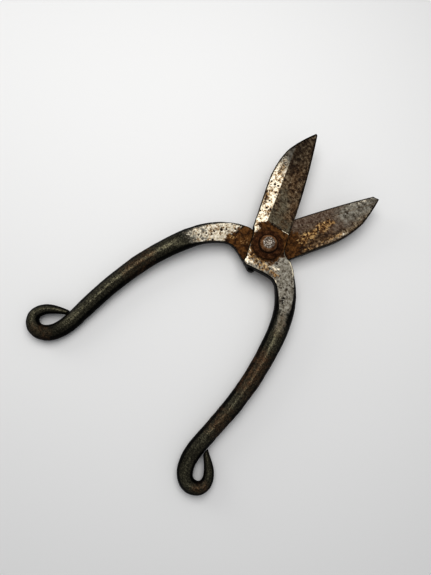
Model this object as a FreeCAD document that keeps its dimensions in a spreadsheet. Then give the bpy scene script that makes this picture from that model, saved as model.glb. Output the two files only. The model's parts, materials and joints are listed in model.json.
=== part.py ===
import FreeCAD, Part
import math
import os

# Hand-forged metal snips: two alike forged halves, one turned over, on one domed rivet.
# Frame: the pivot axis is Z, the blades point to +Y and the handles to -Y. The origin is
# the flat peened end of the rivet, on which the snips lie.

V = FreeCAD.Vector
doc = FreeCAD.newDocument("metal_snips")

# ---------------------------------------------------------------- driving dimensions (mm)
sheet = doc.addObject("Spreadsheet::Sheet", "sizes")
SIZES = [
    ("mating_height", 10.30),      # mating plane above the rivet's peened end
    ("mating_gap", 0.05),          # half of the oiled gap between the two halves
    ("plate_top", 5.50),           # outer face of a half above the mating plane
    ("edge_round", 0.60),          # rounding along the plate's outer edges
    ("steel_width", 6.50),         # hard steel let into the cutting side
    ("steel_thickness", 1.30),
    ("bevel_slope", 0.235),        # fall of the blade's bevel per mm across the blade
    ("ramp_slope", 0.235),         # joggle: the neck's inner face per mm of x
    ("ramp_start", 20.50),         # flat bearing zone ends here
    ("shank_radius", 4.00),
    ("bore_clearance", 0.05),      # running fit of the moving half on the rivet
    ("head_radius", 5.90),
    ("head_height", 3.40),
    ("peen_radius", 2.60),
    ("back_head_height", 2.60),
    ("front_washer_radius", 9.50),
    ("front_washer_height", 2.50),
    ("back_washer_radius", 9.00),
    ("back_washer_height", 2.20),
    ("washer_rim", 1.20),
    ("washer_gap", 0.05),
]
size = {}
for row, (alias, number) in enumerate(SIZES, start=1):
    sheet.set("A%d" % row, alias)
    sheet.set("B%d" % row, str(number))
    sheet.setAlias("B%d" % row, alias)
    size[alias] = number
doc.recompute()


# ------------------------------------------------------------------------------- helpers
def origin_plane(body, role):
    for feature in body.Origin.OriginFeatures:
        if feature.Role == role:
            return feature
    raise RuntimeError("no plane " + role)


def new_sketch(body, name, role):
    sketch = body.newObject("Sketcher::SketchObject", name)
    sketch.AttachmentSupport = [(origin_plane(body, role), "")]
    sketch.MapMode = "FlatFace"
    return sketch


def draw(sketch, start, steps):
    """Closed outline: each step is (end) for a line or (through, end) for an arc."""
    curves = []
    here = start
    for step in steps:
        if len(step) == 1:
            curves.append(Part.LineSegment(V(*here, 0), V(*step[0], 0)))
        else:
            curves.append(Part.Arc(V(*here, 0), V(*step[0], 0), V(*step[1], 0)))
        here = step[-1]
    sketch.addGeometry(curves, False)


def edge_names(shape, wanted):
    return ["Edge%d" % (i + 1) for i, edge in enumerate(shape.Edges) if wanted(edge)]


# ------------------------------------------------- the forged plate: blade, head and neck
# The two halves are one pattern, but hand work leaves each with its own blade end.
BACK_AND_HEAD = [
    ((-33.0, 45.0), (-28.5, 31.3)),
    ((-15.4, 3.4),),                         # straight back down to the head
    ((-12.3, 0.2),),                         # small notch beside the washer
    ((-4.6, -15.6),),
    ((-3.6, -18.4), (-1.2, -18.9)),          # round corner of the head
    ((5.0, -16.9), (12.4, -14.8)),           # crotch edge
    ((16.4, -14.2), (20.3, -14.7)),
    ((25.2, -3.1),),                         # end of the plate inside the neck
    ((20.9, 0.3), (16.2, 2.3)),
    ((12.1, 3.4), (9.4, 6.4)),               # hollow where the neck meets the head
    ((5.4, 14.8),),
]
SHARP_TIP = (-29.2, 80.5)
WORN_POINT = ((-28.37, 80.44), (-27.66, 80.0))   # the point is worn round towards the edge
BROKEN_TIP = (-27.2, 75.2)
NEAR_BLADE = ([((-32.45, 68.4), (-34.5, 56.5))] + BACK_AND_HEAD
              + [((-9.78, 47.83), WORN_POINT[1]), (WORN_POINT[0], SHARP_TIP)])
FAR_BLADE = ([((-31.3, 76.5),), ((-33.4, 66.2), (-34.5, 56.5))] + BACK_AND_HEAD
             + [((-11.4, 47.7), BROKEN_TIP)])


def outer_rim(edge):
    """Edges of the outer face along the back of the blade and around the head."""
    if edge.BoundBox.ZMin < size["plate_top"] - 0.01:
        return False
    middle = edge.valueAt((edge.FirstParameter + edge.LastParameter) / 2)
    at_neck = middle.x > 17.5
    at_cutting_edge = middle.x - 5.4 > -0.66 * (middle.y - 14.8) and middle.y > 15
    at_tip = middle.y > 60
    return not (at_neck or at_cutting_edge or at_tip)


def forged_plate(name, start, steps):
    body = doc.addObject("PartDesign::Body", name)
    outline = new_sketch(body, name + "_outline", "XY_Plane")
    draw(outline, start, steps)
    pad = body.newObject("PartDesign::Pad", name + "_pad")
    pad.Profile = outline
    pad.setExpression("Length", "sizes.plate_top")
    doc.recompute()
    rim = body.newObject("PartDesign::Chamfer", name + "_rim")
    rim.Base = (pad, edge_names(pad.Shape, outer_rim))
    rim.setExpression("Size", "sizes.edge_round")
    body.Tip = rim
    return body


near_plate = forged_plate("near_plate", SHARP_TIP, NEAR_BLADE)
far_plate = forged_plate("far_plate", BROKEN_TIP, FAR_BLADE)

# ------------------------------------------ the handle: drawn-down bar ending in a curl
# Stations along the bar: centre x, y, half width, height above and below the mating
# plane, and how square the section is on its inner and outer side (2 is round).
STATIONS = [
    (11.0, -5.2, 7.6, 7.6, 2.0, 4.0, 4.0),
    (17.0, -6.6, 7.9, 7.6, 2.0, 4.0, 4.0),
    (22.8, -9.0, 6.9, 7.4, 2.3, 4.0, 3.0),
    (29.05, -14.15, 6.7, 6.9, 3.4, 3.1, 2.3),
    (34.7, -21.0, 6.5, 6.3, 4.6, 2.65, 2.1),
    (39.3, -29.2, 6.35, 5.8, 5.3, 2.3, 2.0),
    (43.1, -38.5, 6.2, 5.5, 5.4, 2.1, 2.0),
    (47.2, -52.15, 5.85, 5.4, 5.4, 2.0, 2.0),
    (50.3, -66.05, 5.7, 5.4, 5.4, 2.0, 2.0),
    (52.4, -82.0, 5.5, 5.3, 5.3, 2.0, 2.0),
    (53.4, -100.0, 5.3, 5.2, 5.2, 2.0, 2.0),
    (53.5, -114.0, 5.2, 5.1, 5.1, 2.0, 2.0),
    (54.1, -122.3, 5.1, 5.0, 5.0, 2.0, 2.0),
    (56.0, -129.3, 4.9, 4.9, 4.9, 2.0, 2.0),
    (59.7, -134.6, 4.7, 4.7, 4.7, 2.0, 2.0),
    (65.0, -137.0, 4.4, 4.4, 4.4, 2.0, 2.0),
    (70.0, -135.6, 4.1, 4.2, 4.2, 2.0, 2.0),
    (72.5, -131.4, 3.6, 3.8, 3.8, 2.0, 2.0),
    (71.3, -126.6, 3.2, 3.4, 3.4, 2.0, 2.0),
    (68.2, -122.9, 2.8, 3.0, 3.0, 2.0, 2.0),
    (64.6, -120.2, 2.3, 2.5, 2.5, 2.0, 2.0),
    (59.7, -117.1, 1.7, 1.8, 1.8, 2.0, 2.0),
]
TIP_DIRECTION = V(-1, 0.03, 0)               # the curl's end is cut to lie along the bar


def section(centre, along, half, above, below, inner, outer):
    """Closed smooth section across the bar, each quarter a superellipse."""
    side = V(along.y, -along.x, 0).normalize()   # towards the handles' inside
    points = []
    count = 24
    for step in range(count):
        turn = 2 * math.pi * step / count
        c = math.cos(turn)
        s = math.sin(turn)
        power = inner if c > 0 else outer
        across = math.copysign(abs(c) ** (2 / power), c) * half
        up = math.copysign(abs(s) ** (2 / power), s) * (above if s > 0 else below)
        points.append(centre + side * across + V(0, 0, up))
    curve = Part.BSplineCurve()
    curve.interpolate(points, PeriodicFlag=True)
    return Part.Wire([curve.toShape()])


def bent_bar(name, drift, run, curl, tip):
    """The bar through the stations; drift, curl and tip are this half's own lean in x.

    The drift grows over the given run of y, and then stays.
    """
    rows = []
    for x, y, *rest in STATIONS:
        lean = drift * min(max((-15 - y) / run, 0), 1)
        lean += curl * min(max((x - 56) / 8, 0), 1) if y < -115 else 0
        rows.append((x + lean, y, *rest))
    x, *rest = rows[-1]
    rows[-1] = (x + tip, *rest)
    centres = [V(row[0], row[1], 0) for row in rows]
    path = Part.BSplineCurve()
    path.interpolate(centres)
    wires = []
    for index, row in enumerate(rows):
        at_tip = index == len(rows) - 1
        along = TIP_DIRECTION if at_tip else path.tangent(path.parameter(centres[index]))[0]
        wire = doc.addObject("Part::Feature", "%s_section_%02d" % (name, index + 1))
        wire.Shape = section(centres[index], along, *row[2:])
        wires.append(wire)
    bar = doc.addObject("Part::Loft", name)
    bar.Sections = wires
    bar.Solid = True
    bar.Ruled = False
    return bar


near_bar = bent_bar("near_bar", -0.65, 45, -0.8, 0)
far_bar = bent_bar("far_bar", 0.65, 85, 0.1, -0.6)
doc.recompute()

# Flat ground on the outer face of the neck.
face_cut = doc.addObject("Part::Box", "outer_face_cut")
face_cut.Length = 60
face_cut.Width = 62
face_cut.Height = 12
face_cut.Placement.Base = V(0, -46, 0)
face_cut.setExpression(".Placement.Base.z", "sizes.plate_top")

# Bearing face and joggle: flat at the mating plane, then falling away along x.
reach = 28.0
fall = size["ramp_slope"] * reach
start_x = size["ramp_start"]
gap = size["mating_gap"]
profile = [V(-4, -46, gap), V(start_x, -46, gap), V(start_x + reach, -46, gap - fall),
           V(start_x + reach, -46, -16), V(-4, -46, -16)]
ramp_outline = doc.addObject("Part::Feature", "ramp_outline")
ramp_outline.Shape = Part.Face(Part.makePolygon(profile + [profile[0]]))
ramp_cut = doc.addObject("Part::Extrusion", "ramp_cut")
ramp_cut.Base = ramp_outline
ramp_cut.DirMode = "Custom"
ramp_cut.Dir = V(0, 1, 0)
ramp_cut.LengthFwd = 70
ramp_cut.Solid = True

grinding = doc.addObject("Part::MultiFuse", "neck_grinding")
grinding.Shapes = [face_cut, ramp_cut]


def fused_blank(name, plate, bar):
    handle = doc.addObject("Part::Cut", name + "_handle")
    handle.Base = bar
    handle.Tool = grinding
    blank = doc.addObject("Part::MultiFuse", name)
    blank.Shapes = [plate, handle]
    return blank


near_blank = fused_blank("near_blank", near_plate, near_bar)
far_blank = fused_blank("far_blank", far_plate, far_bar)

# ------------------------------------------------------------- the blade's ground bevel
# A plane through the ridge line, falling towards the cutting edge; it starts at a step.
ridge_start = V(-11.0, 11.6, 0)
ridge_end = V(-30.2, 57.9, 0)
step_end = V(5.3, 14.9, 0)
ridge = (ridge_end - ridge_start).normalize()
across = V(ridge.y, -ridge.x, 0)


def bevel_height(point):
    return size["plate_top"] - size["bevel_slope"] * (point - ridge_start).dot(across)


low = V(step_end.x, step_end.y, bevel_height(step_end))
high = V(ridge_start.x, ridge_start.y, size["plate_top"])
local_x = (low - high).normalize()
far_point = V(ridge_end.x, ridge_end.y, size["plate_top"])
local_z = local_x.cross(far_point - high).normalize()
local_y = local_z.cross(local_x)
bevel_cut = doc.addObject("Part::Box", "bevel_cut")
bevel_cut.Length = 70
bevel_cut.Width = 90
bevel_cut.Height = 14
turn = FreeCAD.Rotation(local_x, local_y, local_z, "ZXY")
bevel_cut.Placement = FreeCAD.Placement(high - local_x * 35, turn)

# --------------------------------------------------- hard steel along the cutting edge
steel_zone = doc.addObject("PartDesign::Body", "steel_zone")
steel_outline = new_sketch(steel_zone, "steel_outline", "XY_Plane")
width = size["steel_width"]
draw(steel_outline, (-0.9, 12.6), [
    ((-10.5 - 0.87 * width, 47.7 - 0.49 * width), (-35.0, 80.0)),
    ((-27.0, 86.0),),
    ((-6.5, 50.0), (8.6, 15.0)),
    ((-0.9, 12.6),),
])
steel_pad = steel_zone.newObject("PartDesign::Pad", "steel_pad")
steel_pad.Profile = steel_outline
steel_pad.setExpression("Length", "sizes.steel_thickness")

# Both halves start a hair off the mating plane, as far out as the bearing face reaches.
skim = doc.addObject("Part::Box", "mating_skim")
skim.setExpression("Length", "40 + sizes.ramp_start")
skim.Width = 120
skim.Placement.Base = V(-40, -30, 0)
skim.setExpression("Height", "sizes.mating_gap")


def split_forging(name, blank):
    """Grind the bevel, then part the iron from the hard steel."""
    forging = doc.addObject("Part::Cut", name + "_forging")
    forging.Base = blank
    forging.Tool = bevel_cut
    iron = doc.addObject("Part::Cut", name + "_iron")
    iron.Base = forging
    iron.Tool = steel_zone
    steel = doc.addObject("Part::Common", name + "_steel")
    steel.Base = forging
    steel.Tool = steel_zone
    return iron, steel


near_iron, near_steel = split_forging("near", near_blank)
far_iron, far_steel = split_forging("far", far_blank)

# ------------------------------------------------------------------- the two halves
moving_bore = doc.addObject("Part::Cylinder", "moving_bore")
moving_bore.setExpression("Radius", "sizes.shank_radius + sizes.bore_clearance")
moving_bore.Height = 30
moving_bore.Placement.Base = V(0, 0, -15)
fixed_bore = doc.addObject("Part::Cylinder", "fixed_bore")
fixed_bore.setExpression("Radius", "sizes.shank_radius")
fixed_bore.Height = 30
fixed_bore.Placement.Base = V(0, 0, -15)
near_removed = doc.addObject("Part::MultiFuse", "near_removed")
near_removed.Shapes = [moving_bore, skim]
far_removed = doc.addObject("Part::MultiFuse", "far_removed")
far_removed.Shapes = [fixed_bore, skim]

over = FreeCAD.Rotation(V(0, 1, 0), 180)
upright = FreeCAD.Rotation()


def cut_node(label, base, tool, rotation):
    node = doc.addObject("Part::Cut", label)
    node.Base = base
    node.Tool = tool
    node.Placement = FreeCAD.Placement(V(0, 0, 0), rotation)
    node.setExpression(".Placement.Base.z", "sizes.mating_height")
    return node


nodes = [
    cut_node("near_half", near_iron, near_removed, upright),
    cut_node("near_edge_steel", near_steel, near_removed, upright),
    cut_node("far_half", far_iron, far_removed, over),
    cut_node("far_edge_steel", far_steel, far_removed, over),
]

# ------------------------------------------------------------------- rivet and washers
face = size["plate_top"]
shank = size["shank_radius"]
front_face = face + size["washer_gap"]


def turned(label, start, steps):
    body = doc.addObject("PartDesign::Body", label)
    sketch = new_sketch(body, label + "_profile", "XZ_Plane")
    draw(sketch, start, steps)
    spin = body.newObject("PartDesign::Revolution", label + "_turned")
    spin.Profile = sketch
    spin.ReferenceAxis = (sketch, ["V_Axis"])
    spin.Angle = 360
    body.setExpression(".Placement.Base.z", "sizes.mating_height")
    return body


rim_height = size["washer_rim"]
front_rim = size["front_washer_radius"]
front_top = front_face + size["front_washer_height"]
head = size["head_radius"]
front_washer = turned("front_washer", (shank, front_face), [
    ((front_rim - 0.4, front_face),),
    ((front_rim, front_face + 0.4),),
    ((front_rim, front_face + rim_height),),
    ((8.2, front_top - 0.45), (head, front_top)),
    ((shank, front_top),),
    ((shank, front_face),),
])
back_rim = size["back_washer_radius"]
back_top = -face - size["back_washer_height"]
back_washer = turned("back_washer", (shank, -face), [
    ((shank, back_top),),
    ((head, back_top),),
    ((7.8, back_top + 0.4), (back_rim, -face - rim_height)),
    ((back_rim, -face),),
    ((shank, -face),),
])
peen = size["peen_radius"]
crown = front_top + size["head_height"]
foot = back_top - size["back_head_height"]
rivet = turned("pivot_rivet", (0, foot), [
    ((peen, foot),),
    ((4.9, back_top - 1.55), (head - 0.2, back_top)),
    ((shank, back_top),),
    ((shank, front_top),),
    ((head, front_top),),
    ((4.95, front_top + 2.05), (peen, crown)),
    ((0, crown),),
    ((0, foot),),
])
nodes += [front_washer, back_washer, rivet]

doc.recompute()
for item in doc.Objects:
    if "Invalid" in item.State or "Error" in item.State:
        raise RuntimeError("failed: %s %s" % (item.Name, item.State))
os.makedirs("parts", exist_ok=True)
for node in nodes:
    shape = node.Shape
    if shape.isNull() or not shape.isValid():
        raise RuntimeError("bad shape: " + node.Label)
    box = shape.BoundBox
    print("%-16s solids %d  volume %8.1f  x %.1f..%.1f  y %.1f..%.1f  z %.2f..%.2f" % (
        node.Label, len(shape.Solids), shape.Volume, box.XMin, box.XMax,
        box.YMin, box.YMax, box.ZMin, box.ZMax))
    shape.exportStep("parts/%s.step" % node.Label)
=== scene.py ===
import bpy
import itertools
import json
import math
import numpy as np
from mathutils import Matrix, Vector
from mathutils.bvhtree import BVHTree

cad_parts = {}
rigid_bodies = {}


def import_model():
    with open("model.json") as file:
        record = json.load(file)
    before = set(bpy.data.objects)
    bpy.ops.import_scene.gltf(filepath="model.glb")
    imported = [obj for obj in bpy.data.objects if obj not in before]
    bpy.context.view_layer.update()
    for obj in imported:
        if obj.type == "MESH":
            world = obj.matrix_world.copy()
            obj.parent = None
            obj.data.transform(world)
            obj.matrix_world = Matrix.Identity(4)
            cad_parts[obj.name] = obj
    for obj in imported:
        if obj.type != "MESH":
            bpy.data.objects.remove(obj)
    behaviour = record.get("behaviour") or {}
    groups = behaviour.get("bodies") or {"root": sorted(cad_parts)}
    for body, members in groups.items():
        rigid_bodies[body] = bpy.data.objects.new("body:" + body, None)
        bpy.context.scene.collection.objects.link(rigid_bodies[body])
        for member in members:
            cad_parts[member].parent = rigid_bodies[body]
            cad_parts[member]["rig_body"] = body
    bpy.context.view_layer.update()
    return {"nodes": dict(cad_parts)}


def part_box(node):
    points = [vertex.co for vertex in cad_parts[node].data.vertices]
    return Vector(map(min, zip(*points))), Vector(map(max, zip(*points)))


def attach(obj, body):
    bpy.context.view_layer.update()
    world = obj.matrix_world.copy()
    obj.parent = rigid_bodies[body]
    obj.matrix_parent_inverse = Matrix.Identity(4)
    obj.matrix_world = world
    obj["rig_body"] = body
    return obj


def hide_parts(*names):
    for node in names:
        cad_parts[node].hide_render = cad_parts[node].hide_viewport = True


# Hand-forged metal snips, long used and rusted: two alike halves, one turned over, on a
# domed rivet between two washers. Lengths are in millimetres unless a name says otherwise.
# "Own" coordinates are one half's: the pivot is Z, the mating face lies at z = 0, the outer
# face above it, the blade points to +Y and the handle bends out to +X.
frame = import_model()
MM = 0.001

MATING = (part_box("near_edge_steel")[0].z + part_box("far_edge_steel")[1].z) / 2 / MM
RAMP_START = 20.5              # the neck's mating face falls away past this x
BORE_ZONE = 4.6                # radius of the bore and a little around it
HEAD_RADIUS = (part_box("pivot_rivet")[1].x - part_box("pivot_rivet")[0].x) / 2 / MM
# The bevel of a blade lies between its ridge and the step beside the head.
RIDGE_START = np.array([-11.0, 11.6])
RIDGE_END = np.array([-30.2, 57.9])
STEP_END = np.array([5.3, 14.9])


# ------------------------------------------------------------------------------- camera
def turn(angle, axis):
    return Matrix.Rotation(math.radians(angle), 3, axis)


ROLL = turn(90 - 46.2, "Z")
TILT = turn(-2, "Y") @ turn(11, "X")
LOOK_AT = Vector((32.89, 26.59, -10.3)) * MM
DISTANCE = 296.3 * MM
SENSOR = 36
FOCAL_SHARE = 470 / 575           # focal length over the picture's longer side


def make_camera():
    data = bpy.data.cameras.new("camera")
    data.sensor_width = SENSOR
    data.lens = SENSOR * FOCAL_SHARE
    data.clip_start = 0.01
    camera = bpy.data.objects.new("camera", data)
    eye = ROLL @ (TILT @ Vector((0, 0, DISTANCE)) - LOOK_AT)
    camera.matrix_world = Matrix.Translation(eye) @ (ROLL @ TILT).to_4x4()
    bpy.context.scene.collection.objects.link(camera)
    bpy.context.scene.camera = camera


# ------------------------------------------------------------------ random surface fields
def waves(points, length, seed, count=24):
    """A smooth random field of about -1 to 1 whose bumps are about length apart."""
    rng = np.random.default_rng(seed)
    ways = rng.normal(size=(count, 3))
    ways /= np.linalg.norm(ways, axis=1)[:, None]
    ways *= (2 * math.pi / length * rng.uniform(0.7, 1.3, count))[:, None]
    phases = rng.uniform(0, 2 * math.pi, count)
    return np.sin(points @ ways.T + phases).sum(1) / math.sqrt(2 * count)


def scatter(cells, seed, many):
    """Numbers from 0 to 1 that depend only on the grid cell."""
    base = cells @ np.array([127.1, 311.7, 74.7]) + seed * 17.31
    shifts = np.arange(many) * 39.43
    return np.modf(np.abs(np.sin(base[:, None] + shifts)) * 43758.5453)[0]


def hollows(points, spacing, seed, share, smallest=0.18, largest=0.40):
    """Round hollows of depth 0 to 1, at most one in each grid cell."""
    home = np.floor(points / spacing)
    depth = np.zeros(len(points))
    for offset in itertools.product((-1, 0, 1), repeat=3):
        cells = home + offset
        random = scatter(cells, seed, 5)
        reach = spacing * (smallest + (largest - smallest) * random[:, 3])
        away = np.linalg.norm(points - (cells + random[:, :3]) * spacing, axis=1)
        bowl = np.clip(1 - (away / reach) ** 2, 0, 1)
        depth = np.maximum(depth, np.where(random[:, 4] < share, bowl, 0))
    return depth


def rise(value, low, high):
    """0 below low, 1 above high, smooth between; it falls if low is above high."""
    share = np.clip((value - low) / (high - low), 0, 1)
    return share * share * (3 - 2 * share)


# ----------------------------------------------------------------------- wear, painted highlight and painted shade, by region
# Each patch is a rounded stroke on one face: zone, start, end, radius, feather, strength.
OUTER_PATCHES = [
    ("bright", (-15.2, 5.0), (-27.5, 36.0), 11.0, 4.0, 0.92),
    ("bright", (-27.5, 36.0), (-29.5, 44.0), 8.0, 9.0, 0.70),
    ("bright", (-4.0, -15.6), (3.0, -14.2), 1.6, 3.0, 0.72),
    ("bright", (3.0, -14.2), (14.0, -13.0), 2.2, 3.6, 0.50),
    ("bright", (-13.8, 4.0), (-9.0, -8.0), 1.0, 1.6, 0.85),
    ("bright", (-9.0, -8.0), (-4.0, -15.6), 2.8, 2.6, 0.90),
    # Bright lines along the head's border, the bevel's ridge and the step: worn bright edges with
    # painted highlight.
    ("line", (-13.6, 2.0), (-4.4, -16.8), 0.45, 0.7, 0.85),
    ("line", (-12.5, 15.0), (-25.4, 46.5), 0.25, 0.7, 0.62),
    ("line", (-7.5, 12.2), (5.2, 14.9), 0.30, 0.5, 0.8),
    ("line", (0.6, 13.8), (5.4, 14.9), 0.60, 0.6, 1.0),
    # Where the neck's outer border gets a bright line: worn edge and painted highlight.
    ("rim", (12.0, -4.0), (22.0, -9.0), 9.5, 3.0, 1.0),
    ("rim", (22.0, -9.0), (33.0, -24.0), 8.5, 3.0, 1.0),
    ("rim", (-3.0, -17.0), (8.0, -17.0), 3.0, 3.0, 1.0),
    ("grey", (-4.0, -15.0), (12.0, -12.0), 5.0, 3.0, 1.0),
    ("grey", (14.5, -5.0), (23.0, -9.0), 8.5, 4.0, 1.0),
    ("grey", (23.0, -9.0), (33.0, -21.0), 6.0, 5.0, 1.0),
    ("grey", (33.0, -21.0), (40.5, -33.0), 3.4, 6.0, 1.0),
    ("stain", (38.0, -28.0), (42.0, -37.0), 2.4, 6.0, 1.0),
    ("grey", (-29.5, 42.0), (-32.4, 60.0), 6.0, 6.0, 0.80),
    ("brown", (0.0, 0.0), (0.0, 2.0), 11.2, 3.0, 1.1),
    ("brown", (-6.5, 7.5), (3.0, 10.0), 5.0, 2.5, 1.1),
    ("brown", (9.0, -7.0), (10.0, 2.0), 2.5, 4.0, 0.8),
    ("brown", (-11.8, 6.5), (-9.5, 10.5), 1.8, 2.2, 0.95),
    ("stain", (-5.0, 35.0), (-3.0, 18.0), 2.6, 5.0, 0.9),
    ("stain", (-13.0, 38.0), (-20.0, 52.0), 4.0, 7.0, 0.8),
    ("stain", (-9.0, 18.0), (-4.0, 22.0), 1.0, 4.0, 0.7),
    ("olive", (-13.0, 16.0), (3.0, 18.0), 4.6, 5.0, 1.0),
    ("olive", (-8.0, 24.0), (-16.0, 34.0), 3.5, 6.0, 0.8),
    ("gold", (-21.5, 20.0), (-24.6, 29.0), 2.0, 4.0, 0.58),
    ("gold", (-27.6, 41.0), (-29.0, 47.0), 2.0, 4.0, 0.62),
    ("gold", (-6.0, -12.0), (16.0, -12.0), 2.6, 4.0, 0.66),
    ("brown", (-3.0, -13.0), (7.0, -13.0), 1.2, 4.0, 0.66),
    ("bright", (7.0, -10.5), (15.0, -7.0), 3.0, 4.0, 0.52),
    ("soot_and_painted_shade", (-26.0, 52.0), (-33.5, 76.0), 5.0, 14.0, 1.0),
    # A dark ring on the plate around the washer: painted shade where the washer sits on the plate.
    ("soot_and_painted_shade", (0.0, 0.0), (0.0, 0.2), 9.9, 1.4, 0.9),
    ("scale", (30.4, -18.2), (35.0, -27.6), 1.2, 4.2, 0.64),
    # Dark lines along the cutting edge: painted shade of the gap and side below the edge.
    ("soot_and_painted_shade", (4.6, 15.8), (-10.0, 47.7), 0.5, 0.9, 1.2),
    ("soot_and_painted_shade", (-9.8, 47.8), (-27.9, 80.0), 0.6, 0.9, 1.2),
]
MATING_PATCHES = [
    ("brown", (-12.0, 4.0), (-10.0, 14.0), 7.5, 6.0, 1.1),
    ("stain", (-18.0, 14.0), (-24.0, 34.0), 4.5, 6.0, 0.9),
    ("brown", (11.0, -4.0), (13.0, -12.0), 10.0, 4.0, 1.2),
    ("gold", (-13.0, 19.5), (-18.4, 41.0), 2.7, 4.5, 1.0),
    ("gold", (-19.5, 16.0), (-29.0, 40.0), 1.4, 4.0, 0.70),
    ("gold", (12.0, -6.0), (15.0, -9.0), 1.0, 6.0, 0.62),
    ("stain", (18.0, -8.0), (22.0, -12.0), 4.0, 6.0, 0.6),
    ("gold", (18.0, -7.0), (22.0, -11.0), 2.0, 5.0, 0.50),
    ("mauve", (-2.0, 22.0), (-17.0, 52.0), 6.0, 5.0, 1.0),
    ("mauve", (-19.0, 38.0), (-25.0, 50.0), 5.0, 6.0, 0.9),
    ("grey", (-22.0, 54.0), (-28.0, 72.0), 7.5, 10.0, 0.85),
    ("bright", (-21.0, 18.0), (-30.6, 43.0), 1.2, 4.5, 0.78),
    ("bright", (-20.0, 58.0), (-28.0, 75.0), 1.6, 9.0, 0.50),
]
WORN_PATCHES = {
    "near": [((46.0, -54.0), (51.0, -74.0), 4.0, 10.0, 0.8),
             ((53.0, -95.0), (53.4, -103.0), 4.0, 10.0, 0.7),
             ((68.0, -136.0), (71.0, -131.0), 2.0, 4.0, 0.7)],
    "far": [((50.0, -58.0), (52.0, -72.0), 4.0, 10.0, 0.6),
            ((59.0, -134.0), (66.0, -137.0), 3.0, 5.0, 0.5)],
}
DEEP_PITS = {
    "near": [(-27.3, 33.6, 0.7), (-22.0, 34.0, 0.8), (-20.0, 29.6, 0.6), (-24.0, 37.0, 0.5),
             (-18.8, 13.6, 0.6), (-15.4, 17.4, 0.5), (-28.4, 42.6, 0.5), (-22.5, 23.5, 0.7),
             (2.2, -12.6, 1.1), (4.0, -13.4, 0.8), (11.0, -10.6, 0.8), (12.5, -5.0, 0.9)],
    "far": [(28.6, -12.2, 1.2), (26.6, -9.6, 0.7), (21.6, -14.6, 0.8), (22.6, -5.2, 0.7),
            (31.0, -16.4, 0.7), (33.6, -21.0, 0.7), (36.2, -25.2, 0.6)],
}
ZONES = ("bright", "line", "rim", "grey", "brown", "stain", "gold", "olive", "mauve",
         "soot_and_painted_shade", "scale", "worn")


def stroke(flat, start, end, radius, feather, strength):
    """How much of a patch lies at each point of the plan: 1 inside, 0 past its feather."""
    start = np.array(start)
    run = np.array(end) - start
    along = np.clip((flat - start) @ run / (run @ run), 0, 1)
    away = np.linalg.norm(flat - start - along[:, None] * run, axis=1)
    return np.clip((radius + feather / 2 - away) / feather, 0, 1) * strength


def bevel_reach(own):
    """Millimetres inside the blade's ground bevel, below zero outside it."""
    along = (RIDGE_END - RIDGE_START) / np.linalg.norm(RIDGE_END - RIDGE_START)
    from_ridge = (own[:, :2] - RIDGE_START) @ np.array([along[1], -along[0]])
    step = (STEP_END - RIDGE_START) / np.linalg.norm(STEP_END - RIDGE_START)
    from_step = (own[:, :2] - RIDGE_START) @ np.array([-step[1], step[0]])
    return np.minimum(from_ridge, from_step)


def wear_fields(own, facing, half):
    """Amount of each kind of surface, about 0.5 where one would end."""
    flat = own[:, :2]
    outer = rise(facing, 0.80, 0.96)
    mating = rise(-facing, 0.80, 0.96)
    zones = {zone: np.zeros(len(own)) for zone in ZONES}
    for face, patches in ((outer, OUTER_PATCHES), (mating, MATING_PATCHES)):
        for zone, *shape in patches:
            zones[zone] = np.maximum(zones[zone], stroke(flat, *shape) * face)
    ramp = rise(own[:, 0], RAMP_START - 0.3, RAMP_START + 0.6) * rise(own[:, 1], -38, -24)
    ramp *= rise(-facing, 0.72, 0.93)
    tongue = 0.86 - 0.25 * rise(own[:, 0], 24, 33)
    zones["bright"] = np.maximum(zones["bright"], tongue * ramp)
    zones["grey"] = np.maximum(zones["grey"], ramp)
    for shape in WORN_PATCHES[half]:
        zones["worn"] = np.maximum(zones["worn"], stroke(flat, *shape))
    zones["bevel"] = np.where(facing > 0.3, bevel_reach(own), -5.0)
    zones["blade"] = (rise(own[:, 1], 8, 14) * rise(own[:, 0], 9, 5)
                      * rise(np.abs(facing), 0.5, 0.8))
    zones["edged"] = np.maximum(zones["blade"], ramp)
    return zones


# ------------------------------------------------------------------ meshes, by hand work
SEEDS = {"near": 3, "far": 8}
# Depths of the unevenness.
FACET = 0.20
SWELL = 0.13
SMALL_SWELL = 0.05
DENT = 0.16
BAR_LOSS = 0.08                # what scale and wear took off the bar all over
WAVY_SIDE = 0.09
GRAIN = 0.025
PIT = 0.16
LAP = 0.15
GROOVE = 0.10
GROOVE_RADIUS = 2.3


def fine_mesh(node, depth):
    """An even mesh of a CAD node that keeps its edges, with cells of its length / 2 ** depth."""
    raw = bpy.data.objects.new("raw", frame["nodes"][node].data.copy())
    bpy.context.scene.collection.objects.link(raw)
    remesh = raw.modifiers.new("remesh", "REMESH")
    remesh.mode = "SHARP"
    remesh.octree_depth = depth
    remesh.scale = 0.99
    remesh.use_remove_disconnected = False
    mesh = bpy.data.meshes.new_from_object(
        raw.evaluated_get(bpy.context.evaluated_depsgraph_get()))
    bpy.data.objects.remove(raw)
    mesh.polygons.foreach_set("use_smooth", [True] * len(mesh.polygons))
    return mesh


def read(mesh, name):
    values = np.zeros(len(mesh.vertices) * 3)
    mesh.vertices.foreach_get(name, values)
    return values.reshape(-1, 3)


def spread(mesh, values, steps):
    """Values that fade out evenly over that many mesh edges around where they are high."""
    ends = np.zeros(len(mesh.edges) * 2, dtype=np.int64)
    mesh.edges.foreach_get("vertices", ends)
    first, second = ends.reshape(-1, 2).T
    for _ in range(steps):
        wider = values.copy()
        np.maximum.at(wider, first, values[second] - 1 / steps)
        np.maximum.at(wider, second, values[first] - 1 / steps)
        values = wider
    return values


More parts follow.
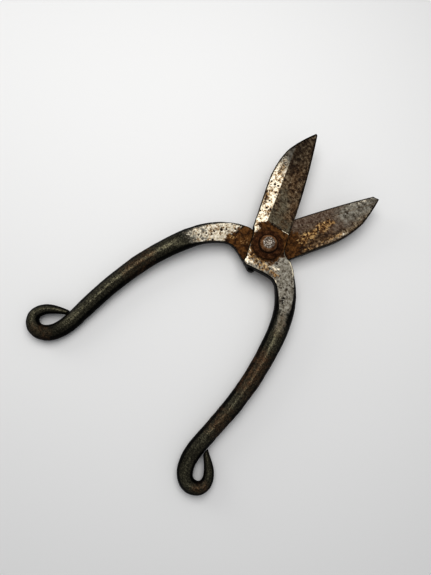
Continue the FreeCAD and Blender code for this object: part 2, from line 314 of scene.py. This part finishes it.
def joined_to(points, node, chosen, reach=0.15):
    """1 where a chosen point lies against another CAD node, within reach."""
    other = frame["nodes"][node].data
    tree = BVHTree.FromPolygons([corner.co for corner in other.vertices],
                                [list(face.vertices) for face in other.polygons])
    joined = np.zeros(len(points))
    for index in np.flatnonzero(chosen):
        joined[index] = tree.find_nearest(points[index] * MM, reach * MM)[0] is not None
    return joined


def write_fields(mesh, grain, fields):
    vector = mesh.attributes.new("grain", "FLOAT_VECTOR", "POINT")
    vector.data.foreach_set("vector", grain.astype(np.float32).ravel())
    for name, values in fields.items():
        attribute = mesh.attributes.new(name, "FLOAT", "POINT")
        attribute.data.foreach_set("value", values.astype(np.float32))


def add_piece(name, mesh, node, material):
    mesh.materials.clear()
    mesh.materials.append(material)
    piece = bpy.data.objects.new(name, mesh)
    bpy.context.scene.collection.objects.link(piece)
    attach(piece, frame["nodes"][node]["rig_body"])
    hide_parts(node)
    return piece


def forging(name, node, mate, half, depth, material):
    """One half's iron or its edge steel, with the marks of hammer, grinding and rust, and fields for
    painted highlight and shade.
    """
    mesh = fine_mesh(node, depth)
    side = 1.0 if half == "near" else -1.0
    seed = SEEDS[half]
    mirror = np.array([side, 1.0, side])
    points = read(mesh, "co") / MM
    own = (points - [0, 0, MATING]) * mirror
    normal = read(mesh, "normal") * mirror
    facing = normal[:, 2]
    bar = rise(own[:, 1], -20, -42)
    flat = rise(np.abs(facing), 0.85, 0.97) * (1 - bar)
    sides = (1 - rise(np.abs(facing), 0.3, 0.7)) * (1 - bar)
    seam = joined_to(points, mate, sides > 0.01)
    sides *= 1 - seam
    rim = spread(mesh, sides, 5)

    # Handles: soft hammer facets around the bar and slow swells along it.
    around = 4 * np.arcsin(np.clip(facing, -1, 1)) + 0.5 * waves(own, 45, seed)
    facets = FACET * np.cos(around) * (0.8 + 0.4 * waves(own, 22, seed + 1))
    swell = SWELL * waves(own, 17, seed + 2) + SMALL_SWELL * waves(own, 6, seed + 3)
    dents = -DENT * hollows(own, 9.0, seed + 4, 0.6, 0.25, 0.55)
    push = bar * (facets + swell + dents - BAR_LOSS)
    # Plates: rust-eaten flats, mostly below the true face, and uneven edges.
    push -= flat * (0.03 + 0.03 * waves(own, 9, seed + 5) + 0.02 * waves(own, 3.5, seed + 6))
    push += sides * WAVY_SIDE * waves(own, 7, seed + 7)
    push += GRAIN * waves(own, 2.2, seed + 8) * (1 - flat)

    pits = hollows(own, 3.1, seed + 9, 0.42)
    small_pits = hollows(own, 1.9, seed + 10, 0.35)
    eaten = rise(waves(own, 14, seed + 11), -0.5, 0.6)
    pit = np.maximum(pits, 0.8 * small_pits) * (0.35 + 0.65 * eaten)
    shown = facing if half == "near" else -facing
    for x, y, reach in DEEP_PITS[half]:
        away = np.linalg.norm(own[:, :2] - [x, y], axis=1)
        deep = np.clip(1.3 * (1 - (away / reach) ** 2), 0, 1) * rise(shown, 0.5, 0.9)
        pit = np.maximum(pit, deep)
    push -= PIT * pit * (0.3 + 0.7 * flat)
    # The bore stays true, so that the half clears the rivet as it turns.
    push[np.linalg.norm(own[:, :2], axis=1) < BORE_ZONE] = 0.0

    outward = read(mesh, "normal")
    moved = points + outward * push[:, None]
    # The iron and its edge steel lap a little, so that no groove opens along their joint.
    moved += outward * [1, 1, 0] * (LAP * seam)[:, None]
    mesh.vertices.foreach_set("co", (moved * MM).ravel())
    mesh.update()
    fields = wear_fields(own, facing, half)
    fields["pit"] = pit
    # A bright line along the neck's outer border: worn edge with painted highlight.
    fields["line"] = np.maximum(fields["line"], fields.pop("rim") * rise(rim, 0.3, 0.55)
                                * rise(facing, 0.5, 0.9))
    fields["rim"] = rim
    ridge = rise(np.cos(around), 0.30, 0.95) * rise(np.abs(facing), 0.55, 0.75)
    burnish = 0.42 * rise(np.abs(facing), 0.62, 0.86) + 0.45 * ridge
    fields["ridge"] = bar * burnish * rise(waves(own, 20, seed + 12), -2.2, 0.2)
    write_fields(mesh, own + seed * np.array([37.0, 11.0, 23.0]), fields)
    return add_piece(name, mesh, node, material)


def turned_iron(name, node, depth, seed, material):
    """Rivet or washer: turned shape, hammered over and rusted."""
    mesh = fine_mesh(node, depth)
    points = read(mesh, "co") / MM
    normal = read(mesh, "normal")
    radius = np.linalg.norm(points[:, :2], axis=1)
    low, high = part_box(node)
    end = np.minimum(high.z / MM - points[:, 2], points[:, 2] - low.z / MM)
    tilted = rise(np.abs(normal[:, 2]), 0.15, 0.5)
    push = -0.07 * hollows(points, 2.6, seed, 0.7, 0.3, 0.6)
    push += 0.035 * waves(points, 2.4, seed + 1) + 0.02 * waves(points, 1.1, seed + 2)
    push -= 0.04 + 0.05 * hollows(points, 1.1, seed + 3, 0.5)
    crown = groove = np.zeros(len(points))
    # A ring of painted shade where the rivet head's edge meets the washer.
    crevice_shade_ring = rise(np.abs(radius - HEAD_RADIUS), 0.9, 0.2)
    if node == "pivot_rivet":
        crown = rise(radius, 4.3, 3.1) * rise(end, 2.2, 1.6)
        groove = rise(np.abs(radius - GROOVE_RADIUS), 0.5, 0.15) * rise(end, 1.8, 1.2)
        crevice_shade_ring *= rise(end, 1.7, 2.6)
    push -= GROOVE * groove
    moved = points + normal * (push * (0.25 + 0.75 * tilted))[:, None]
    mesh.vertices.foreach_set("co", (moved * MM).ravel())
    mesh.update()
    write_fields(mesh, points + seed * np.array([5.0, 9.0, 2.0]),
                 {"crown": crown, "painted_crevice_shade": crevice_shade_ring, "groove": groove})
    return add_piece(name, mesh, node, material)


# ----------------------------------------------------------------------------- materials
SHEEN = 0.03                   # how much plain reflection rust and scale keep


def srgb(red, green, blue):
    """A colour as a screen shows it, 0 to 255, for the shader."""
    def channel(value):
        value /= 255
        return value / 12.92 if value <= 0.04045 else ((value + 0.055) / 1.055) ** 2.4
    return (channel(red), channel(green), channel(blue), 1.0)


class Shader:
    """Builds one node material from sockets, numbers and colours."""

    def __init__(self, name):
        self.material = bpy.data.materials.new(name)
        self.material.use_nodes = True
        self.tree = self.material.node_tree
        self.surface = self.tree.nodes["Principled BSDF"]

    def put(self, socket, value):
        if isinstance(value, bpy.types.NodeSocket):
            self.tree.links.new(value, socket)
        else:
            socket.default_value = value

    def node(self, kind, settings, inputs, output=0):
        node = self.tree.nodes.new(kind)
        for key, value in settings.items():
            setattr(node, key, value)
        for key, value in inputs.items():
            self.put(node.inputs[key], value)
        return node.outputs[output]

    def field(self, name, output="Fac"):
        return self.node("ShaderNodeAttribute", {"attribute_name": name}, {}, output)

    def noise(self, where, size, detail=3.0, rough=0.55):
        """Noise of 0 to 1 with patches of about size."""
        return self.node("ShaderNodeTexNoise", {}, {
            "Vector": where, "Scale": 1 / size, "Detail": detail, "Roughness": rough})

    def warped(self, where, size, reach):
        """The coordinates pushed about by up to reach, so that round things turn ragged."""
        colour = self.node("ShaderNodeTexNoise", {}, {"Vector": where, "Scale": 1 / size},
                           "Color")
        return self.node("ShaderNodeVectorMath", {"operation": "MULTIPLY_ADD"},
                         {0: colour, 1: (reach, reach, reach), 2: where})

    def specks(self, where, size, share, edge):
        """Specks of 0 to 1, one in a share of the cells of that size."""
        cells = self.tree.nodes.new("ShaderNodeTexVoronoi")
        self.put(cells.inputs["Vector"], where)
        self.put(cells.inputs["Scale"], 1 / size)
        lot = self.node("ShaderNodeSeparateColor", {}, {"Color": cells.outputs["Color"]})
        kept = self.step(self.math("SUBTRACT", share, lot), 0.0, 0.05)
        return self.math("MULTIPLY", self.step(cells.outputs["Distance"], edge, edge * 0.5),
                         kept)

    def ramp(self, value, *stops):
        """A colour scale over stops of (value, colour)."""
        node = self.tree.nodes.new("ShaderNodeValToRGB")
        self.put(node.inputs["Fac"], value)
        elements = node.color_ramp.elements
        while len(elements) < len(stops):
            elements.new(1.0)
        for element, (place, colour) in zip(elements, stops):
            element.position = place
            element.color = colour
        return node.outputs["Color"]

    def step(self, value, low, high):
        return self.node("ShaderNodeMapRange", {"interpolation_type": "SMOOTHSTEP"}, {
            "Value": value, "From Min": low, "From Max": high})

    def math(self, operation, first, second=0.0):
        return self.node("ShaderNodeMath", {"operation": operation}, {0: first, 1: second})

    def add(self, *terms):
        """Sum of (value, weight) terms."""
        total = None
        for value, weight in terms:
            part = self.math("MULTIPLY", value, weight)
            total = part if total is None else self.math("ADD", total, part)
        return total

    def blend(self, share, first, second):
        return self.node("ShaderNodeMix", {"data_type": "FLOAT"},
                         {"Factor": share, "A": first, "B": second})

    def colour(self, share, first, second):
        node = self.tree.nodes.new("ShaderNodeMix")
        node.data_type = "RGBA"
        self.put(node.inputs[0], share)
        self.put(node.inputs[6], first)
        self.put(node.inputs[7], second)
        return node.outputs[2]

    def finish(self, colour, metal, rough, height):
        """height is in millimetres."""
        bump = self.node("ShaderNodeBump", {}, {"Distance": MM, "Strength": 1.0,
                                                "Height": height})
        self.surface.inputs["Specular IOR Level"].default_value = SHEEN
        self.put(self.surface.inputs["Base Color"], colour)
        self.put(self.surface.inputs["Metallic"], metal)
        self.put(self.surface.inputs["Roughness"], rough)
        self.put(self.surface.inputs["Normal"], bump)
        return self.material


class Layers:
    """Colour, metallic and roughness, covered layer by layer."""

    def __init__(self, shader, colour, metal, rough):
        self.shader = shader
        self.colour = colour
        self.metal = metal
        self.rough = rough

    def cover(self, share, colour, metal, rough):
        self.colour = self.shader.colour(share, self.colour, colour)
        self.metal = self.shader.blend(share, self.metal, metal)
        self.rough = self.shader.blend(share, self.rough, rough)


def weathered(name, *scale_stops):
    """Forged iron or edge steel: fire scale, rust, grey and bright steel by its fields."""
    paint = Shader(name)
    grain = paint.field("grain", "Vector")
    broad = paint.noise(grain, 9.0)
    patchy = paint.noise(grain, 2.6, 4.0, 0.6)
    fine = paint.noise(grain, 0.8, 4.0, 0.65)

    def area(zone, ragged, grainy, softness):
        """Where a zone shows, its border broken up by coarse and fine noise."""
        shifted = paint.add((paint.field(zone), 1.0), (patchy, ragged), (fine, grainy))
        middle = 0.5 + (ragged + grainy) / 2
        shown = paint.step(shifted, middle - softness, middle + softness)
        return paint.math("MULTIPLY", shown, paint.step(paint.field(zone), 0.02, 0.20))

    mottle = paint.add((patchy, 0.65), (fine, 0.35))
    gritty = paint.noise(grain, 2.2, 4.0, 0.75)
    flecks = paint.add((paint.noise(grain, 1.5, 3.0), 0.7), (fine, 0.3))
    ragged = paint.warped(grain, 0.9, 1.2)
    crowded = paint.step(patchy, 0.42, 0.62)
    specks = paint.specks(ragged, 1.5, paint.blend(crowded, 0.05, 0.60), 0.34)
    grit = paint.specks(ragged, 0.8, paint.blend(broad, -0.10, 0.80), 0.40)
    blade = paint.field("blade")
    strip = paint.step(paint.field("bevel"), 0.15, -0.15)

    # Fire scale, and over it the ground steel of the blades and the handled parts.
    scale = paint.ramp(mottle, *scale_stops)
    look = Layers(paint, scale, 0.0, paint.blend(fine, 0.26, 0.42))
    ground = paint.ramp(gritty, (0.38, srgb(38, 27, 20)), (0.45, srgb(68, 54, 41)),
                        (0.50, srgb(93, 77, 59)), (0.56, srgb(118, 103, 82)),
                        (0.63, srgb(150, 137, 116)))
    look.cover(blade, ground, 0.15, 0.50)
    worn = paint.ramp(mottle, (0.40, srgb(34, 24, 17)), (0.50, srgb(58, 42, 30)),
                      (0.60, srgb(84, 62, 44)))
    handled = area("worn", 1.6, 0.8, 0.60)
    look.cover(handled, worn, 0.35, 0.42)
    # Thin tarnish on the flats.
    mauve = paint.ramp(flecks, (0.38, srgb(66, 50, 40)), (0.46, srgb(88, 72, 60)),
                       (0.54, srgb(104, 90, 78)), (0.63, srgb(128, 116, 104)))
    look.cover(area("mauve", 1.0, 0.6, 0.45), mauve, 0.25, 0.50)
    olive = paint.ramp(flecks, (0.38, srgb(62, 54, 43)), (0.46, srgb(90, 82, 67)),
                       (0.54, srgb(110, 103, 87)), (0.62, srgb(128, 122, 106)))
    look.cover(paint.math("MULTIPLY", area("olive", 1.8, 0.8, 0.35), 0.9), olive, 0.30, 0.46)
    grey = paint.ramp(gritty, (0.36, srgb(62, 56, 48)), (0.43, srgb(98, 93, 84)),
                      (0.50, srgb(116, 112, 103)), (0.61, srgb(138, 135, 127)))
    ground_grey = paint.math("MULTIPLY", area("grey", 1.2, 0.8, 0.45), strip)
    look.cover(ground_grey, grey, 0.65, 0.42)
    # Bare metal, with tan stains in it.
    bare = paint.ramp(flecks, (0.36, srgb(84, 60, 40)), (0.41, srgb(138, 116, 88)),
                      (0.46, srgb(183, 174, 155)), (0.62, srgb(206, 200, 188)))
    bright = paint.math("MULTIPLY", area("bright", 1.7, 0.9, 0.12), strip)
    look.cover(bright, bare, 0.80, 0.40)
    tan = paint.ramp(flecks, (0.40, srgb(64, 42, 26)), (0.48, srgb(126, 96, 62)),
                     (0.58, srgb(168, 140, 100)))
    stained = paint.step(paint.noise(grain, 3.4, 4.0, 0.65), 0.56, 0.63)
    look.cover(paint.math("MULTIPLY", paint.math("MULTIPLY", bright, stained), 0.8), tan, 0.35, 0.52)
    # Rust, from brown to gold, then soot with painted shade (a dark ring around the washer and dark
    # lines along the cutting edge), and dark scale.
    rust = paint.ramp(gritty, (0.38, srgb(46, 29, 16)), (0.45, srgb(68, 44, 23)),
                      (0.52, srgb(88, 59, 30)), (0.61, srgb(114, 80, 44)))
    look.cover(area("brown", 1.8, 0.9, 0.20), rust, 0.0, 0.72)
    look.cover(paint.math("MULTIPLY", area("stain", 2.4, 1.6, 0.30), 0.38), rust, 0.0, 0.65)
    gold = paint.ramp(flecks, (0.42, srgb(46, 30, 18)), (0.48, srgb(92, 64, 38)),
                      (0.54, srgb(156, 123, 79)), (0.61, srgb(208, 178, 128)))
    look.cover(paint.math("MULTIPLY", area("gold", 2.2, 1.6, 0.18), 0.9), gold, 0.10, 0.60)
    # Soot darkens the blade's point; the same colour paints shade around the washer and along the
    # cutting edge.
    look.cover(paint.math("MULTIPLY", paint.field("soot_and_painted_shade"), 0.7), srgb(26, 22, 18), 0.10, 0.45)
    look.cover(area("scale", 2.6, 2.0, 0.14), srgb(30, 25, 20), 0.10, 0.50)
    # Pits, dark edges that are partly painted shade, and what use has rubbed bright again, with
    # bright edge lines that are partly painted highlight.
    pitted = paint.math("MAXIMUM", paint.step(paint.field("pit"), 0.30, 0.55),
                        paint.math("MAXIMUM", specks, paint.math("MULTIPLY", grit, 0.7)))
    shallow = paint.math("MULTIPLY", paint.math("MAXIMUM", blade, ground_grey), 0.75)
    show = paint.blend(paint.math("MAXIMUM", bright, shallow), 0.25, 1.0)
    look.cover(paint.math("MULTIPLY", pitted, show), srgb(46, 31, 20), 0.0, 0.75)
    # Dark bands along the sides of blades and tongue: dark scale on the sides, with painted shade
    # along the edges.
    scale_and_shade_rim = paint.math("MULTIPLY", paint.step(paint.field("rim"), 0.15, 0.55), 0.92)
    look.cover(paint.math("MULTIPLY", scale_and_shade_rim, paint.field("edged")), srgb(16, 13, 10), 0.0, 0.55)
    # Bright edge lines: worn metal with painted highlight.
    look.cover(area("line", 1.0, 1.2, 0.25), srgb(172, 164, 146), 0.80, 0.38)
    burnished = paint.ramp(fine, (0.36, srgb(44, 42, 34)), (0.50, srgb(80, 77, 63)),
                           (0.64, srgb(128, 124, 104)))
    tanned = paint.ramp(fine, (0.36, srgb(46, 32, 22)), (0.50, srgb(74, 54, 38)),
                        (0.64, srgb(112, 86, 62)))
    burnished = paint.colour(paint.math("MULTIPLY", handled, 0.8), burnished, tanned)
    look.cover(paint.field("ridge"), burnished, 0.80, paint.blend(fine, 0.22, 0.34))
    height = paint.add((fine, 0.05), (patchy, 0.05), (specks, -0.06), (grit, -0.03))
    return paint.finish(look.colour, look.metal, look.rough, height)


def rusted(name, *rust_stops):
    """Rivet or washer iron: rust, painted shade in the crevice where head and washer meet, and a
    crown worn by use.
    """
    paint = Shader(name)
    grain = paint.field("grain", "Vector")
    patchy = paint.noise(grain, 2.4, 4.0, 0.6)
    fine = paint.noise(grain, 0.6, 4.0, 0.65)
    mottle = paint.add((patchy, 0.6), (fine, 0.4))
    rust = paint.ramp(mottle, *rust_stops)
    look = Layers(paint, rust, 0.10, paint.blend(fine, 0.50, 0.72))
    # Painted shade: a dark ring in the crevice at the rivet head's edge.
    look.cover(paint.math("MULTIPLY", paint.field("painted_crevice_shade"), 0.85), srgb(24, 14, 9), 0.0, 0.85)
    crown = paint.add((paint.field("crown"), 1.0), (fine, 0.9), (patchy, 0.9))
    worn = paint.ramp(paint.noise(grain, 0.8, 4.0, 0.7), (0.40, srgb(60, 48, 38)),
                      (0.46, srgb(98, 87, 77)), (0.53, srgb(136, 128, 119)),
                      (0.60, srgb(182, 176, 168)))
    look.cover(paint.step(crown, 1.20, 1.60), worn, 0.55, 0.40)
    look.cover(paint.math("MULTIPLY", paint.field("groove"), 0.6), srgb(52, 40, 32), 0.2, 0.6)
    height = paint.add((fine, 0.06), (patchy, 0.06))
    return paint.finish(look.colour, look.metal, look.rough, height)


# ------------------------------------------------------------------------ floor and light
def make_stage():
    """A plain floor, tilted so that the rivet's foot and both curls rest on it."""
    underside = 5.9            # of the curls, above the rivet's foot
    inset = 5.0                # of a curl's lowest point from the handle's end
    tilt = math.atan2(underside, -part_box("near_half")[0].y / MM - inset)
    mesh = bpy.data.meshes.new("floor")
    reach = 3.0
    corners = [(-reach, -reach, 0), (reach, -reach, 0), (reach, reach, 0), (-reach, reach, 0)]
    mesh.from_pydata(corners, [], [(0, 1, 2, 3)])
    floor = bpy.data.objects.new("floor", mesh)
    floor.matrix_world = Matrix.Rotation(-tilt, 4, "X")
    bpy.context.scene.collection.objects.link(floor)
    paint = Shader("floor_paint")
    paint.surface.inputs["Base Color"].default_value = (0.80, 0.80, 0.80, 1)
    paint.surface.inputs["Roughness"].default_value = 0.75
    paint.surface.inputs["Specular IOR Level"].default_value = 0.2
    mesh.materials.append(paint.material)


# Directions along the floor that are upright and level in the picture.
PICTURE_UP = Vector((-0.692, 0.722, 0.0))
PICTURE_RIGHT = Vector((0.722, 0.692, 0.0))


def soft_light(name, right, up, height, size, power, colour):
    """A square light panel aimed at the pivot; its place is in metres."""
    data = bpy.data.lights.new(name, "AREA")
    data.size = size
    data.energy = power
    data.color = colour
    light = bpy.data.objects.new(name, data)
    place = PICTURE_RIGHT * right + PICTURE_UP * up + Vector((0, 0, height))
    light.matrix_world = (Matrix.Translation(place)
                          @ place.to_track_quat("Z", "Y").to_matrix().to_4x4())
    bpy.context.scene.collection.objects.link(light)


def make_light():
    soft_light("window", right=-0.01, up=0.14, height=0.45, size=0.42, power=1.68,
               colour=(1.0, 0.99, 0.97))
    soft_light("backdrop", right=-0.55, up=0.30, height=0.24, size=0.30, power=0.85,
               colour=(1.0, 1.0, 0.98))
    world = bpy.data.worlds.new("world")
    world.use_nodes = True
    world.node_tree.nodes["Background"].inputs["Color"].default_value = (0.97, 0.98, 1.0, 1)
    world.node_tree.nodes["Background"].inputs["Strength"].default_value = 0.45
    bpy.context.scene.world = world
    bpy.context.scene.view_settings.view_transform = "Standard"
    bpy.context.scene.view_settings.gamma = 0.80


# ----------------------------------------------------------------------------- the scene
make_camera()
make_stage()
make_light()
iron = weathered("forged_iron", (0.38, srgb(3, 3, 3)), (0.50, srgb(7, 7, 6)),
                 (0.60, srgb(16, 15, 12)), (0.68, srgb(34, 28, 20)))
steel = weathered("edge_steel", (0.38, srgb(24, 21, 18)), (0.50, srgb(44, 39, 34)),
                  (0.60, srgb(70, 64, 56)))
rivet = rusted("rivet_iron", (0.38, srgb(66, 42, 24)), (0.46, srgb(98, 67, 42)),
               (0.54, srgb(122, 90, 62)), (0.63, srgb(148, 120, 93)))
washer = rusted("washer_iron", (0.38, srgb(35, 19, 9)), (0.46, srgb(54, 31, 15)),
                (0.54, srgb(74, 46, 25)), (0.63, srgb(98, 68, 43)))
forging("near_forging", "near_half", "near_edge_steel", "near", 9, iron)
forging("far_forging", "far_half", "far_edge_steel", "far", 9, iron)
forging("near_cutting_edge", "near_edge_steel", "near_half", "near", 8, steel)
forging("far_cutting_edge", "far_edge_steel", "far_half", "far", 8, steel)
turned_iron("domed_rivet", "pivot_rivet", 7, 21, rivet)
turned_iron("front_dished_washer", "front_washer", 7, 22, washer)
turned_iron("back_dished_washer", "back_washer", 7, 23, washer)
